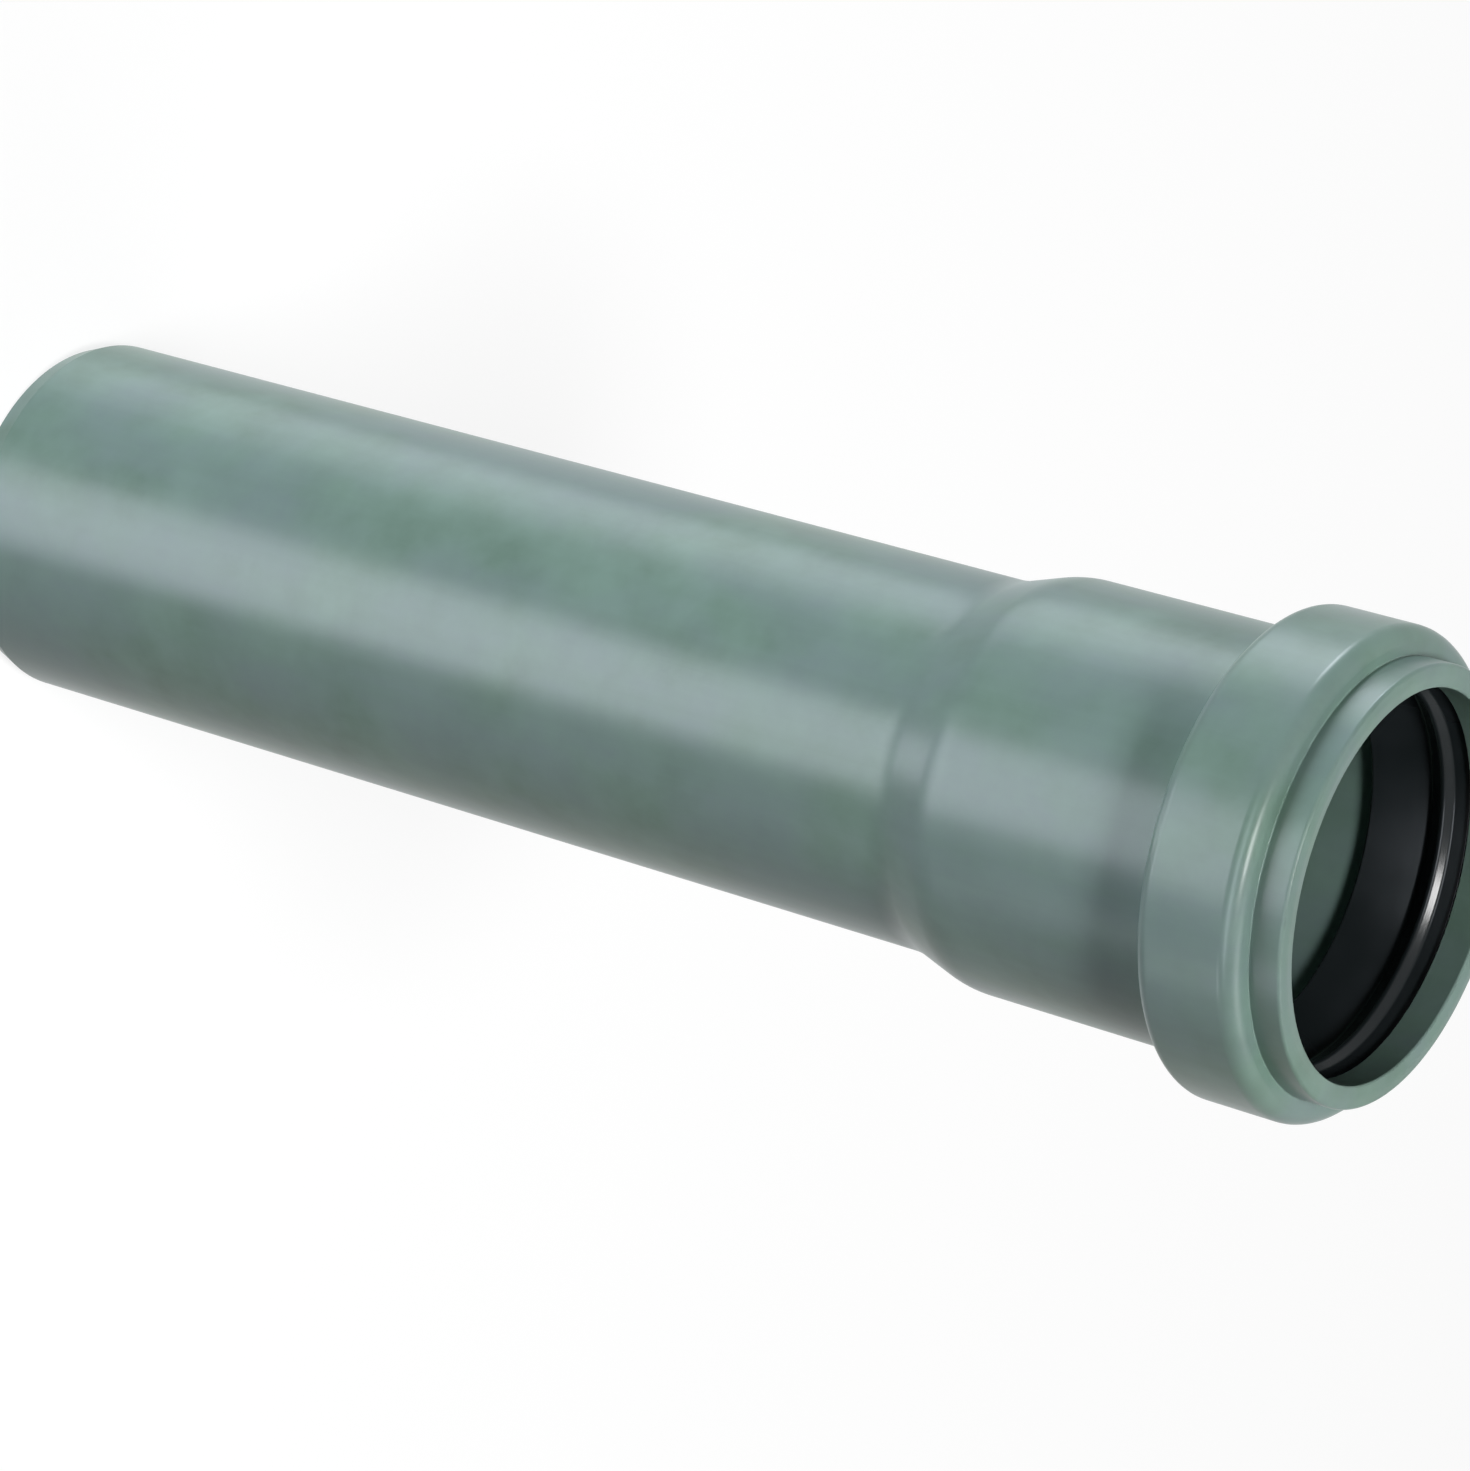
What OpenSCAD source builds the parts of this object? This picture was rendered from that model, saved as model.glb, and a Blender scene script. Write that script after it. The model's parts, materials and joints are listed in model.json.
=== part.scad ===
// Push-fit drain pipe: one length of grey-green polypropylene, with a chamfered spigot at one
// end and, at the other, a flared socket whose bead holds a rubber lip ring.
// It stands on the square-cut end of its spigot, with its axis on Z and its mouth up.

/* [Barrel] */
// Outside diameter of the pipe
pipe_d = 50; // [40:1:75]
// Thickness of the pipe's wall
wall = 1.8; // [1.5:0.1:2.2]
// Length from the spigot's end to the foot of the flare
barrel_l = 156.5; // [60:0.5:1000]
// Length of the chamfer on the spigot's end
chamfer_l = 3; // [2:0.5:6]
// Depth of that chamfer
chamfer_h = 1.1; // [0.4:0.1:1.1]

/* [Socket] */
// Length of the flare, from foot to head
flare_l = 8.5; // [6:0.5:20]
// Radius of the bends at the foot and the head of the flare
flare_bend = 13; // [4:1:15]
// Length from the head of the flare to the mouth
socket_l = 53; // [40:0.5:80]
// How much wider the socket's bore is than the pipe
socket_play = 0.6; // [0.4:0.1:1.2]
// Thickness of the socket's wall
socket_wall = 2.4; // [2:0.1:3]

/* [Mouth and bead] */
// How much wider the mouth's bore is than the pipe
mouth_play = 1.6; // [1.4:0.1:2.4]
// Thickness of the collar's wall, at the mouth
collar_wall = 2.8; // [2.2:0.1:3.2]
// Length of the collar
collar_l = 4.5; // [3:0.1:6]
// How far the bead stands out from the socket
bead_h = 4.5; // [4.3:0.1:5.3]
// Length of the bead
bead_l = 14.4; // [14:0.1:20]
// Thickness of the bead's wall over the groove
bead_wall = 2; // [1.6:0.1:2.4]

/* [Lip ring] */
// How much wider the lip's bore is than the pipe, with the lip pressed back
ring_play = 0.2; // [0.1:0.1:0.4]
// Thickness of the ring's base, against the floor of the groove
base_t = 1.9; // [1.5:0.1:2.2]
// Thickness of the lip at its tip
lip_t = 1.2; // [0.8:0.1:1.4]

/* [Hidden] */

pp_grey = "#708a80";
rubber_black = "#1b1c1e";
arc_step = 9;            // the longest step along a rounded corner, in degrees
cut_edge = 0.15;         // a cut edge, hardly broken
back_bend = 2;           // the bead's back edge
front_bend = 2.4;        // the bead's front edge
root_bend = 1;           // where the bead's back meets the socket
rim_bend = 0.5;          // the outside and the inside of the mouth's rim
groove_bend = 1.5;       // the two corners of the groove's floor
front_slope = 2.3;       // how far the groove's front wall leans back

pipe_r = pipe_d / 2;
bore_r = pipe_r - wall;
socket_bore_r = pipe_r + socket_play / 2;
socket_r = socket_bore_r + socket_wall;
mouth_r = pipe_r + mouth_play / 2;
collar_r = mouth_r + collar_wall;
bead_r = socket_r + bead_h;
groove_r = bead_r - bead_wall;
ring_bore_r = pipe_r + ring_play / 2;

// Heights above the spigot's end
flare_foot = barrel_l;
flare_head = flare_foot + flare_l;
mouth = flare_head + socket_l;
bead_front = mouth - collar_l;
bead_back = bead_front - bead_l;
groove_lip = bead_front - 0.2;           // the groove opens just behind the collar
groove_front = groove_lip - front_slope;
groove_back = bead_back + bead_wall;

function unit(v) = v / norm(v);

// Corner b of the path a-b-c, rounded to radius r: points along the arc that touches both legs
function corner(a, b, c, r) =
    r == 0 ? [b] :
    let (
        u = unit(a - b),
        v = unit(c - b),
        half = acos(u * v) / 2,
        centre = b + unit(u + v) * r / sin(half),
        start = b + u * r / tan(half) - centre,
        turn = (180 - 2 * half) * sign(cross(b - a, c - b)),
        steps = ceil(abs(turn) / arc_step),
        first = atan2(start.y, start.x)
    )
    [for (i = [0 : steps]) let (t = first + turn * i / steps) centre + r * [cos(t), sin(t)]];

// A closed path of [radius, height, bend] points, each corner rounded to its own bend
function rounded(path) =
    let (n = len(path), at = [for (p = path) [p[0], p[1]]])
    [for (i = [0 : n - 1]) each corner(at[(i + n - 1) % n], at[i], at[(i + 1) % n], path[i][2])];

// The solid that such a path sweeps as it turns about Z
module turned(path) {
    rotate_extrude($fn = 180)
        polygon(rounded(path));
}

module pipe() {
    color(pp_grey)
        turned([
            // outside, from the spigot's end up to the mouth
            [pipe_r - chamfer_h, 0, cut_edge],
            [pipe_r, chamfer_l, cut_edge],
            [pipe_r, flare_foot, flare_bend],
            [socket_r, flare_head, flare_bend],
            [socket_r, bead_back, root_bend],
            [bead_r, bead_back, back_bend],
            [bead_r, bead_front, front_bend],
            [collar_r, bead_front, cut_edge],
            [collar_r, mouth, rim_bend],
            // inside, from the mouth down to the spigot's end
            [mouth_r, mouth, rim_bend],
            [mouth_r, groove_lip, cut_edge],
            [groove_r, groove_front, groove_bend],
            [groove_r, groove_back, groove_bend],
            [socket_bore_r, groove_back, cut_edge],
            [socket_bore_r, flare_head, flare_bend],
            [bore_r, flare_foot, flare_bend],
            [bore_r, 0, cut_edge],
        ]);
}

// The ring fills the groove's front, floor and back corner. Its nose leads a spigot in, and its
// lip leans back from the nose to the tip, with a pocket between the lip and the base.
module seal_ring() {
    toe = 0.13;                          // where it starts, as a share of the groove's front wall
    nose = groove_front - 0.8;
    lip_root = groove_front - 4.8;
    lip_tip = groove_back + 0.3;
    pocket_r = groove_r - base_t;
    color(rubber_black)
        turned([
            // against the groove
            [mouth_r + toe * (groove_r - mouth_r), groove_lip - toe * front_slope, 0],
            [groove_r, groove_front, groove_bend],
            [groove_r, groove_back, groove_bend],
            // the base, the pocket, the lip and the nose
            [pocket_r, groove_back, 0.4],
            [pocket_r - 0.1, lip_root, 0.5],
            [ring_bore_r + lip_t, lip_tip, 0.3],
            [ring_bore_r, lip_tip, 0.3],
            [ring_bore_r + 1.5, nose - 2.8, 1],
            [ring_bore_r, nose, 0.8],
        ]);
}

pipe();
seal_ring();
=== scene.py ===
"""Looks of the push-fit polypropylene pipe: its satin grey-green skin, its black lip ring, a plain
pale floor and soft studio light. Lengths are in metres, with the pipe standing on its spigot."""
import json
import math

import bpy
import numpy as np
from mathutils import Matrix, Vector


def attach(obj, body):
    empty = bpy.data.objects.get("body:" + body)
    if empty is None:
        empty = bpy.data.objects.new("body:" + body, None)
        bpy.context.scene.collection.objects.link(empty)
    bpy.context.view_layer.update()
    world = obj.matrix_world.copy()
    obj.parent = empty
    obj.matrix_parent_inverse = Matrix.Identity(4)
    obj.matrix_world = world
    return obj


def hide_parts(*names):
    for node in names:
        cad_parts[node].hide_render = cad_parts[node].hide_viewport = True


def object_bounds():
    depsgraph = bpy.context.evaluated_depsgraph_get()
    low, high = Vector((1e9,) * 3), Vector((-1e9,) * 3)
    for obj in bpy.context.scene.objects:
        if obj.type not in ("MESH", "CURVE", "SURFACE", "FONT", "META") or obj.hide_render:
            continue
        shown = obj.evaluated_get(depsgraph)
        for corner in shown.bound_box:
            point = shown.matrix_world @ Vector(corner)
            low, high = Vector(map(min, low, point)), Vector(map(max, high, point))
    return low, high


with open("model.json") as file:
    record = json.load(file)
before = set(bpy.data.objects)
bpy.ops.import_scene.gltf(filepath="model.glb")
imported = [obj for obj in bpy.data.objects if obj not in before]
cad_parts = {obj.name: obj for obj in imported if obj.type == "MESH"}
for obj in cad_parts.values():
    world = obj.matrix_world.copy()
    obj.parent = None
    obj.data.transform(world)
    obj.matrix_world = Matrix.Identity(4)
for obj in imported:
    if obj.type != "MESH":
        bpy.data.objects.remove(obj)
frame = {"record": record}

cad_low, cad_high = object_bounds()

MM = 0.001
TAU = 2 * math.pi

# ---------------------------------------------------------------- sizes, from the frame
mounts = {m["name"]: m for m in frame["record"]["mounts"]}
PIPE_R = mounts["spigot"]["dims"]["r_mm"] * MM
BORE_R = mounts["waterway"]["dims"]["r_mm"] * MM
SOCKET_BORE_R = mounts["socket"]["dims"]["r_mm"] * MM
BEAD_R = cad_high.x
MOUTH = cad_high.z                         # height of the mouth's rim

# The rest of the form, as the solids have it
CHAMFER_L, CHAMFER_H = 3.0 * MM, 1.1 * MM
FLARE_L, FLARE_BEND = 8.5 * MM, 13 * MM
SOCKET_L, SOCKET_R = 53 * MM, 27.7 * MM
COLLAR_L, COLLAR_R = 4.5 * MM, 28.6 * MM
MOUTH_R = 25.8 * MM
BEAD_L, BEAD_WALL = 14.4 * MM, 2.0 * MM
FRONT_SLOPE = 2.3 * MM
CUT_EDGE = 0.15 * MM                       # a cut edge, hardly broken
MOULDED_EDGE = 0.5 * MM                    # an edge rounded in the mould
GROOVE_BEND = 1.5 * MM                     # the groove's two corners, which the ring's back fills

# The rim's crown, and the ring as it lies free
CROWN_R = 27.1 * MM
CROWN_OUTER_DROP, CROWN_INNER_DROP = 0.15 * MM, 0.20 * MM
RIM_TURNED_IN = 0.35 * MM
TIP_R, TIP_WIDTH = 24.1 * MM, 1.2 * MM
NOSE_R, NOSE_ROOT_R, THROAT_R = 24.8 * MM, 25.9 * MM, 26.4 * MM

FLARE_HEAD = MOUTH - SOCKET_L
FLARE_FOOT = FLARE_HEAD - FLARE_L
BEAD_FRONT = MOUTH - COLLAR_L
BEAD_BACK = BEAD_FRONT - BEAD_L
GROOVE_LIP = BEAD_FRONT - 0.2 * MM
GROOVE_FRONT = GROOVE_LIP - FRONT_SLOPE
GROOVE_BACK = BEAD_BACK + BEAD_WALL
GROOVE_R = BEAD_R - BEAD_WALL


# ---------------------------------------------------------------- turned surfaces
def rounded_outline(corners, steps):
    """Rounds all the corners of a closed outline at once.

    A corner is (radius, height, bend). Where its two legs, of directions u and v, meet at the half
    angle h, the arc's centre lies bend / sin(h) along the bisector, and the arc turns by pi - 2h.
    Returns the points and the unit normals of the outline, both in the (radius, height) plane.
    """
    path = np.array(corners)
    at, bend = path[:, :2], path[:, 2:]
    u = np.roll(at, 1, axis=0) - at
    v = np.roll(at, -1, axis=0) - at
    turn_side = np.sign(v[:, 0] * u[:, 1] - v[:, 1] * u[:, 0])[:, None]
    u /= np.linalg.norm(u, axis=1, keepdims=True)
    v /= np.linalg.norm(v, axis=1, keepdims=True)
    half = np.arccos(np.clip((u * v).sum(1), -1, 1))[:, None] / 2
    bisector = (u + v) / np.linalg.norm(u + v, axis=1, keepdims=True)
    centre = at + bisector * bend / np.sin(half)
    first = u / np.tan(half) - bisector / np.sin(half)
    turned = turn_side * (math.pi - 2 * half) * np.linspace(0, 1, steps + 1)
    angle = np.arctan2(first[:, 1:], first[:, :1]) + turned
    ray = np.stack([np.cos(angle), np.sin(angle)], axis=2)
    points = centre[:, None, :] + bend[:, None, :] * ray
    normals = turn_side[:, None, :] * ray
    return points.reshape(-1, 2), normals.reshape(-1, 2)


def with_spans(points, normals, span):
    """Adds points to a closed outline so that its straight runs have one at least every span.
    They lie along the path's own length, and the normals follow in step."""
    closed = np.vstack([points, points[:1]])
    along = np.concatenate([[0], np.cumsum(np.linalg.norm(np.diff(closed, axis=0), axis=1))])
    extra = np.arange(span, along[-1], span)
    gap = np.abs(extra[:, None] - along[None, :]).min(axis=1)
    places = np.sort(np.concatenate([along[:-1], extra[gap > span / 5]]))
    ends = np.vstack([normals, normals[:1]])
    points = np.stack([np.interp(places, along, closed[:, k]) for k in (0, 1)], axis=1)
    normals = np.stack([np.interp(places, along, ends[:, k]) for k in (0, 1)], axis=1)
    return points, normals


def turned_piece(name, corners, steps, span, sides=360):
    """A closed surface of revolution: point (r, z) of the outline goes to (r cos a, r sin a, z) for
    `sides` equal angles a. The outline's own normals, turned by the same angles, shade it."""
    points, normals = with_spans(*rounded_outline(corners, steps), span)
    a = np.arange(sides) * TAU / sides
    r, z = points[:, :1], points[:, 1:]
    level = np.ones_like(a)
    verts = np.stack([r * np.cos(a), r * np.sin(a), z * level], axis=2)
    shade = np.stack([normals[:, :1] * np.cos(a), normals[:, :1] * np.sin(a), normals[:, 1:] * level], axis=2)
    rows = np.arange(len(points))[:, None]
    cols = np.arange(sides)[None, :]
    next_row, next_col = (rows + 1) % len(points), (cols + 1) % sides
    quads = np.stack([rows * sides + cols, rows * sides + next_col,
                      next_row * sides + next_col, next_row * sides + cols], axis=2)
    mesh = bpy.data.meshes.new(name)
    mesh.from_pydata(verts.reshape(-1, 3), [], quads.reshape(-1, 4))
    mesh.shade_smooth()
    mesh.normals_split_custom_set_from_vertices(shade.reshape(-1, 3))
    piece = bpy.data.objects.new(name, mesh)
    bpy.context.scene.collection.objects.link(piece)
    return piece


def pipe_skin():
    """The pipe's whole surface, outside from the spigot up to the mouth and back down the bore.
    The mouth's rim is a little crowned, and its inner edge turns in by a third of a millimetre."""
    corners = [
        (PIPE_R - CHAMFER_H, cad_low.z, CUT_EDGE),
        (PIPE_R, CHAMFER_L, CUT_EDGE),
        (PIPE_R, FLARE_FOOT, FLARE_BEND),
        (SOCKET_R, FLARE_HEAD, FLARE_BEND),
        (SOCKET_R, BEAD_BACK, 1.0 * MM),
        (BEAD_R, BEAD_BACK, 2.0 * MM),
        (BEAD_R, BEAD_FRONT, 2.4 * MM),
        (COLLAR_R, BEAD_FRONT, CUT_EDGE),
        (COLLAR_R, MOUTH - CROWN_OUTER_DROP, MOULDED_EDGE),
        (CROWN_R, MOUTH, 4.0 * MM),
        (MOUTH_R - RIM_TURNED_IN, MOUTH - CROWN_INNER_DROP, 0.3 * MM),
        (MOUTH_R, GROOVE_LIP, CUT_EDGE),
        (GROOVE_R, GROOVE_FRONT, GROOVE_BEND),
        (GROOVE_R, GROOVE_BACK, GROOVE_BEND),
        (SOCKET_BORE_R, GROOVE_BACK, CUT_EDGE),
        (SOCKET_BORE_R, FLARE_HEAD, FLARE_BEND),
        (BORE_R, FLARE_FOOT, FLARE_BEND),
        (BORE_R, cad_low.z, CUT_EDGE),
    ]
    return turned_piece("pipe_skin", corners, steps=8, span=8 * MM)


def lip_ring():
    """The rubber ring as it lies free: its nose leads in at the front, and its lip leans back and
    inwards from the nose to a thin tip, a little smaller than the spigot that will spread it."""
    toe = 0.13                                       # where it starts, along the groove's front wall
    pocket_r = GROOVE_R - 1.9 * MM
    tip_height = GROOVE_BACK - 1.4 * MM
    corners = [
        (MOUTH_R + toe * (GROOVE_R - MOUTH_R), GROOVE_LIP - toe * FRONT_SLOPE, 0.1 * MM),
        (GROOVE_R, GROOVE_FRONT, GROOVE_BEND),
        (GROOVE_R, GROOVE_BACK, GROOVE_BEND),
        (pocket_r, GROOVE_BACK, 0.4 * MM),
        (pocket_r - 0.1 * MM, GROOVE_FRONT - 4.8 * MM, MOULDED_EDGE),
        (TIP_R + TIP_WIDTH, tip_height, 0.3 * MM),
        (TIP_R, tip_height, 0.3 * MM),
        (THROAT_R, GROOVE_FRONT - 3.6 * MM, 1.0 * MM),
        (NOSE_R, GROOVE_FRONT - 1.2 * MM, 0.7 * MM),
        (NOSE_ROOT_R, GROOVE_FRONT - 0.1 * MM, 0.8 * MM),
    ]
    return turned_piece("lip_ring", corners, steps=10, span=3 * MM)


# ---------------------------------------------------------------- materials
PLASTIC_DEEP = (0.110, 0.180, 0.142)
PLASTIC_PALE = (0.158, 0.245, 0.205)
PLASTIC_COOL = (0.148, 0.204, 0.204)
PLASTIC_SAWN = (0.205, 0.290, 0.255)
SATIN = 0.28                               # roughness of the moulded skin where it is smoothest


class Nodes:
    """A material's node tree, written one node at a time."""

    def __init__(self, name):
        self.material = bpy.data.materials.new(name)
        self.material.use_nodes = True
        self.tree = self.material.node_tree
        self.tree.nodes.clear()

    def add(self, kind, inputs=None, **settings):
        """A node of that kind. An input is a plain value, or another node's output."""
        node = self.tree.nodes.new("ShaderNode" + kind)
        for key, value in settings.items():
            setattr(node, key, value)
        for key, value in (inputs or {}).items():
            if isinstance(value, bpy.types.NodeSocket):
                self.tree.links.new(value, node.inputs[key])
            else:
                node.inputs[key].default_value = value
        return node

    def noise(self, where, scale, detail=3.0, roughness=0.55):
        """Noise from 0 to 1 at a point of the surface."""
        return self.add("TexNoise", {"Vector": where, "Scale": scale, "Detail": detail,
                                     "Roughness": roughness}).outputs["Fac"]

    def stretched(self, where, scale):
        """The point, scaled on its own along each axis, so that a pattern draws out into lines."""
        return self.add("Mapping", {"Vector": where, "Scale": scale}).outputs["Vector"]

    def ramp(self, value, low, high, out_low=0.0, out_high=1.0):
        """value, carried from low..high onto out_low..out_high and held there."""
        return self.add("MapRange", {"Value": value, "From Min": low, "From Max": high,
                                     "To Min": out_low, "To Max": out_high}).outputs["Result"]

    def math(self, operation, a, b=0.0):
        return self.add("Math", {0: a, 1: b}, operation=operation).outputs["Value"]

    def blend(self, factor, a, b):
        """Colour a at factor 0, and b at 1."""
        node = self.add("Mix", {"Factor": factor}, data_type="RGBA")
        for socket, value in ((node.inputs[6], a), (node.inputs[7], b)):
            if isinstance(value, bpy.types.NodeSocket):
                self.tree.links.new(value, socket)
            else:
                socket.default_value = (*value, 1.0)
        return node.outputs[2]

    def surface(self, shader):
        self.add("OutputMaterial", {"Surface": shader})
        return self.material


def polypropylene():
    """Satin grey-green polypropylene: its colour drifts in soft clouds, fine draw lines run along the
    axis, a slight unevenness makes reflections waver, and the foot's cut end shows its saw marks."""
    m = Nodes("pipe_polypropylene")
    here = m.add("TexCoord").outputs["Object"]
    height = m.add("SeparateXYZ", {"Vector": here}).outputs["Z"]
    drift = m.noise(m.stretched(here, (60.0, 60.0, 40.0)), 1.0, detail=3.0, roughness=0.5)
    clouds = m.noise(here, 110.0, detail=3.0, roughness=0.5)
    mottle = m.noise(here, 420.0, detail=2.0)
    broad_lines = m.noise(m.stretched(here, (230.0, 230.0, 3.0)), 1.0, detail=2.0)
    fine_lines = m.noise(m.stretched(here, (1100.0, 1100.0, 6.0)), 1.0, detail=3.0, roughness=0.6)
    waver = m.noise(m.stretched(here, (150.0, 150.0, 60.0)), 1.0, detail=2.0, roughness=0.4)
    grain = m.noise(here, 3000.0, detail=2.0)
    sawn = m.ramp(height, 0.06 * MM, 0.16 * MM, 1.0, 0.0)
    saw_marks = m.noise(m.stretched(here, (2400.0, 90.0, 1.0)), 1.0, detail=3.0)

    colour = m.blend(m.ramp(clouds, 0.30, 0.70), PLASTIC_DEEP, PLASTIC_PALE)
    colour = m.blend(m.ramp(drift, 0.40, 0.60, 0.0, 0.75), colour, PLASTIC_COOL)
    colour = m.blend(m.ramp(mottle, 0.35, 0.70, 0.0, 0.25), colour, PLASTIC_PALE)
    colour = m.blend(m.ramp(broad_lines, 0.45, 0.75, 0.0, 0.25), colour, PLASTIC_DEEP)
    colour = m.blend(m.ramp(fine_lines, 0.45, 0.75, 0.0, 0.15), colour, PLASTIC_PALE)
    colour = m.blend(m.math("MULTIPLY", sawn, m.ramp(saw_marks, 0.3, 0.7, 0.25, 0.75)), colour, PLASTIC_SAWN)

    rough = m.ramp(fine_lines, 0.30, 0.70, SATIN, SATIN + 0.015)
    rough = m.math("ADD", rough, m.ramp(mottle, 0.30, 0.70, 0.0, 0.015))
    rough = m.math("ADD", rough, m.ramp(clouds, 0.35, 0.65, 0.0, 0.02))
    rough = m.math("ADD", rough, m.math("MULTIPLY", sawn, 0.20))

    relief = m.math("ADD", m.math("MULTIPLY", fine_lines, 0.06), m.math("MULTIPLY", grain, 0.05))
    relief = m.math("ADD", relief, m.math("MULTIPLY", broad_lines, 0.25))
    relief = m.math("ADD", relief, m.math("MULTIPLY", waver, 1.4))
    relief = m.math("ADD", relief, m.math("MULTIPLY", m.math("MULTIPLY", saw_marks, sawn), 1.5))
    bump = m.add("Bump", {"Height": relief, "Strength": 0.5, "Distance": 0.05 * MM})
    shader = m.add("BsdfPrincipled", {"Base Color": colour, "Roughness": rough,
                                      "Normal": bump.outputs["Normal"], "IOR": 1.49,
                                      "Specular IOR Level": 0.25})
    return m.surface(shader.outputs["BSDF"])


def rubber():
    """Glossy black moulded rubber, greased for the spigot, with a faint moulded grain."""
    m = Nodes("ring_rubber")
    here = m.add("TexCoord").outputs["Object"]
    grease = m.noise(here, 90.0, detail=2.0)
    swirl = m.noise(m.stretched(here, (120.0, 120.0, 700.0)), 1.0, detail=2.0)
    grain = m.noise(here, 2600.0, detail=2.0)
    colour = m.blend(m.ramp(grease, 0.30, 0.75), (0.009, 0.012, 0.013), (0.014, 0.017, 0.019))
    rough = m.math("ADD", m.ramp(grease, 0.30, 0.70, 0.20, 0.25), m.ramp(swirl, 0.3, 0.7, -0.01, 0.02))
    relief = m.math("ADD", m.math("MULTIPLY", grain, 0.04), m.math("MULTIPLY", swirl, 0.25))
    bump = m.add("Bump", {"Height": relief, "Strength": 0.3, "Distance": 0.02 * MM})
    shader = m.add("BsdfPrincipled", {"Base Color": colour, "Roughness": rough,
                                      "Normal": bump.outputs["Normal"], "IOR": 1.50,
                                      "Specular IOR Level": 0.22})
    return m.surface(shader.outputs["BSDF"])


# ---------------------------------------------------------------- studio
FLOOR_GLOW = 0.84                          # what the floor shows of its own
FLOOR_WHITE = 0.18                         # what it gives back of the lamps' light
FLOOR_R = 6.0
DISC_SIDES = 96
WORLD_LEVEL = 0.03                         # the room's light on the pipe
LAMP_DISTANCE = 1.3
PIPE_MIDDLE = (cad_low + cad_high) / 2
NEUTRAL = (1.0, 1.0, 1.0)
COOL = (0.92, 0.98, 1.06)


def pale_floor():
    """A white floor. It shows as white to the eye and in reflections, and keeps the pipe's shadow."""
    m = Nodes("pale_floor")
    seen = m.add("LightPath").outputs
    shown = m.math("MAXIMUM", seen["Is Camera Ray"],
                   m.math("MAXIMUM", seen["Is Glossy Ray"], seen["Is Transmission Ray"]))
    glow = m.add("Emission", {"Color": (1, 1, 1, 1), "Strength": m.math("MULTIPLY", shown, FLOOR_GLOW)})
    matt = m.add("BsdfDiffuse", {"Color": (FLOOR_WHITE, FLOOR_WHITE, FLOOR_WHITE, 1)})
    both = m.add("AddShader", {0: glow.outputs[0], 1: matt.outputs[0]})
    return m.surface(both.outputs[0])


def shaded_floor():
    """The same floor where the pipe stands over it, in the shade."""
    m = Nodes("shaded_floor")
    matt = m.add("BsdfDiffuse", {"Color": (FLOOR_WHITE, FLOOR_WHITE, FLOOR_WHITE, 1)})
    return m.surface(matt.outputs[0])


def disc(name, radius, height, material):
    """A flat round about the pipe's axis, ringed by equal angles."""
    a = np.arange(DISC_SIDES) * TAU / DISC_SIDES
    verts = np.stack([radius * np.cos(a), radius * np.sin(a), np.full_like(a, height)], axis=1)
    mesh = bpy.data.meshes.new(name)
    mesh.from_pydata(verts, [], [list(range(DISC_SIDES))])
    flat = bpy.data.objects.new(name, mesh)
    bpy.context.scene.collection.objects.link(flat)
    mesh.materials.append(material)
    return flat


def floors():
    """The floor, which hides no lamp from the pipe, and the round of it inside the bore, which does."""
    wide = disc("floor", FLOOR_R, cad_low.z, pale_floor())
    wide.visible_shadow = False
    disc("floor_in_bore", BORE_R, cad_low.z + 0.05 * MM, shaded_floor())


def round_pipe(bearing, elevation, distance):
    """A place round the pipe's middle. Bearing 0 is in front of it, towards -Y, and 90 is at +X."""
    b, e = math.radians(bearing), math.radians(elevation)
    away = Vector((math.sin(b) * math.cos(e), -math.cos(b) * math.cos(e), math.sin(e)))
    return PIPE_MIDDLE + away * distance


def softbox(name, bearing, elevation, width, height, level, tint=NEUTRAL):
    """A rectangular softbox, turned towards the pipe's middle, whose face is that bright, where 1 is
    white. One below the floor shines up through it, as through a glass table."""
    light = bpy.data.lights.new(name, "AREA")
    light.shape = "RECTANGLE"
    light.size, light.size_y = width, height
    light.energy = level * width * height * math.pi
    light.color = tint
    lamp = bpy.data.objects.new(name, light)
    lamp.location = round_pipe(bearing, elevation, LAMP_DISTANCE)
    lamp.rotation_euler = (PIPE_MIDDLE - lamp.location).to_track_quat("-Z", "Y").to_euler()
    lamp.visible_camera = False
    bpy.context.scene.collection.objects.link(lamp)
    # only light aimed at a lamp gets through the floor: a scattered ray stops there
    light.cycles.use_multiple_importance_sampling = elevation > 0
    return lamp


def fill_light(name, bearing, elevation, width, height, level):
    """A softbox that lights the pipe's own colour and leaves no sheen, as through a polariser."""
    fill = softbox(name, bearing, elevation, width, height, level, COOL)
    fill.visible_glossy = False


def white_card(name, bearing, elevation, width, height, level):
    """A card that only shows as sheen on the pipe's gloss, and lights nothing."""
    card = softbox(name, bearing, elevation, width, height, level, COOL)
    card.visible_diffuse = False


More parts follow.
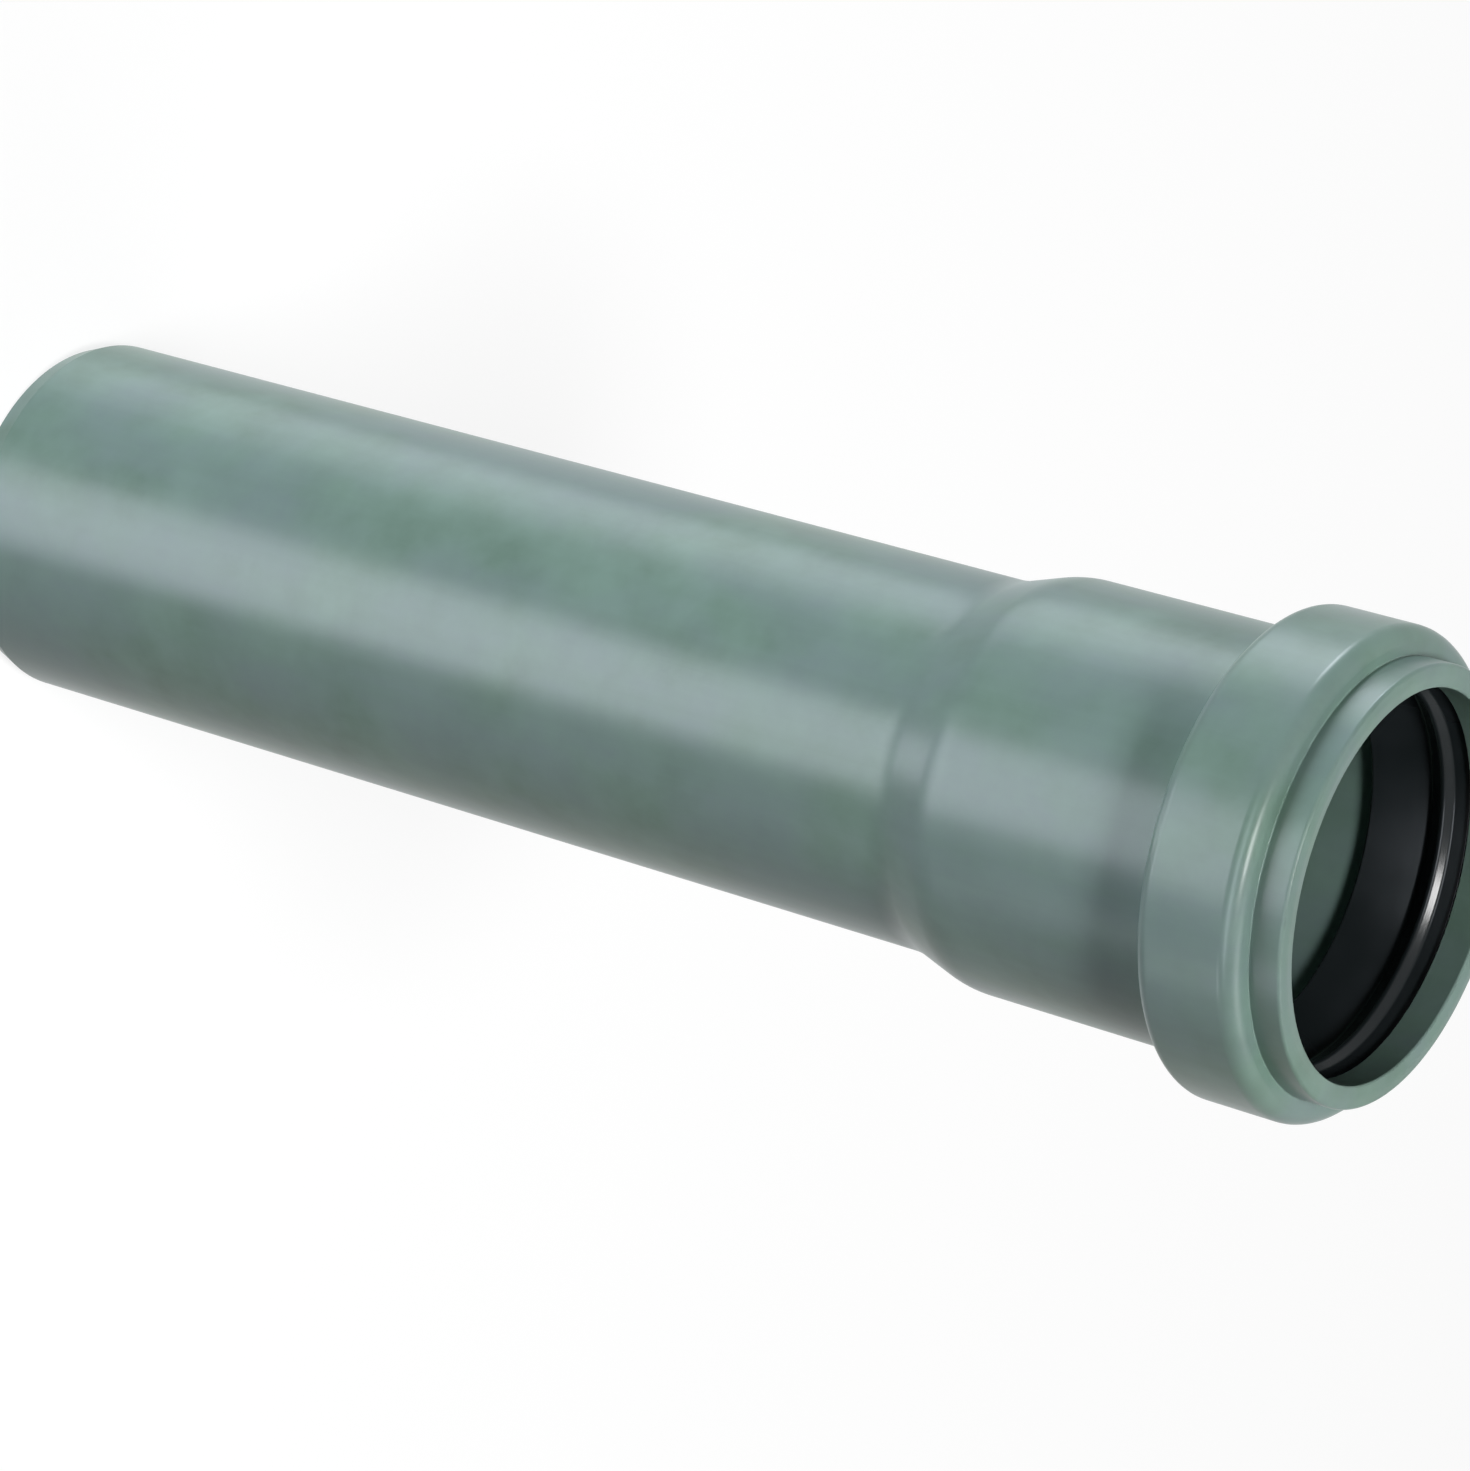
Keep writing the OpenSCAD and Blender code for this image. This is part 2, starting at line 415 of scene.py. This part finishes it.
def sky():
    """The room's own faint light. Past the floor the eye sees white, and so does a reflection."""
    world = bpy.data.worlds.new("studio")
    bpy.context.scene.world = world
    world.use_nodes = True
    tree = world.node_tree
    tree.nodes.clear()
    seen = tree.nodes.new("ShaderNodeLightPath").outputs
    shown = seen["Is Camera Ray"]
    for kind in ("Is Glossy Ray", "Is Transmission Ray"):
        either = tree.nodes.new("ShaderNodeMath")
        either.operation = "MAXIMUM"
        tree.links.new(shown, either.inputs[0])
        tree.links.new(seen[kind], either.inputs[1])
        shown = either.outputs[0]
    level = tree.nodes.new("ShaderNodeMapRange")
    level.inputs["To Min"].default_value = WORLD_LEVEL
    level.inputs["To Max"].default_value = 1.0
    tree.links.new(shown, level.inputs["Value"])
    back = tree.nodes.new("ShaderNodeBackground")
    tree.links.new(level.outputs[0], back.inputs["Strength"])
    out = tree.nodes.new("ShaderNodeOutputWorld")
    tree.links.new(back.outputs[0], out.inputs["Surface"])


def studio():
    """A compact key lamp high above the front, which throws the bead's shade on the socket; a weak one
    high behind, and one low on the left. Two fills from below even out the front and the back. The
    cards draw the long bands on the barrel, front, left and right; one low shows on the flare, and a
    wide one above the front on the bead's front edge."""
    softbox("key", 4, 67, 0.36, 0.22, 62.0)
    softbox("back", 125, 62, 0.60, 0.50, 4.5)
    softbox("low_side", -92, -12, 0.50, 0.25, 22.0, COOL)
    fill_light("fill", -24, -38, 0.80, 0.60, 9.0)
    fill_light("back_fill", 163, -24, 0.90, 0.60, 8.0)
    white_card("front_card", 7, -34, 0.90, 0.68, 10.5)
    white_card("foot_card", 8, -70, 0.32, 0.32, 12.0)
    white_card("side_card", -92, -28, 0.70, 0.70, 3.2)
    white_card("right_card", 62, -14, 0.25, 0.25, 14.0)
    white_card("edge_card", 20, 24, 1.60, 0.36, 8.0)


# ---------------------------------------------------------------- camera
VIEW_ELEVATION = math.radians(32.58)
VIEW_ROLL = math.radians(106.15)           # the camera is turned on its side: the pipe lies across
VIEW_DISTANCE = 0.7811
VIEW_LENS = 143.53                         # in mm, on a sensor 36 mm wide
VIEW_CENTRE = Vector((4.73, 0.74, 8.39)) * MM   # what it looks at, from the middle of the pipe


def camera():
    """The one eye: above the front of the pipe, and rolled over so that the pipe lies across."""
    data = bpy.data.cameras.new("camera")
    data.lens, data.sensor_width = VIEW_LENS, 36.0
    data.clip_start, data.clip_end = 0.05, 50
    eye = bpy.data.objects.new("camera", data)
    back = Vector((0, -math.cos(VIEW_ELEVATION), math.sin(VIEW_ELEVATION)))
    level_right = Vector((1, 0, 0))
    level_up = back.cross(level_right)
    right = level_right * math.cos(VIEW_ROLL) + level_up * math.sin(VIEW_ROLL)
    up = back.cross(right)
    centre = PIPE_MIDDLE + VIEW_CENTRE
    turn = Matrix((right, up, back)).transposed()
    eye.matrix_world = Matrix.LocRotScale(centre + back * VIEW_DISTANCE, turn.to_quaternion(), None)
    bpy.context.scene.collection.objects.link(eye)
    bpy.context.scene.camera = eye


# ---------------------------------------------------------------- assembly
camera()
skin = pipe_skin()
skin.data.materials.append(polypropylene())
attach(skin, "root")
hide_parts("pipe")

ring = lip_ring()
ring.data.materials.append(rubber())
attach(ring, "root")
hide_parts("seal_ring")

floors()
sky()
studio()
bpy.context.scene.view_settings.view_transform = "Standard"
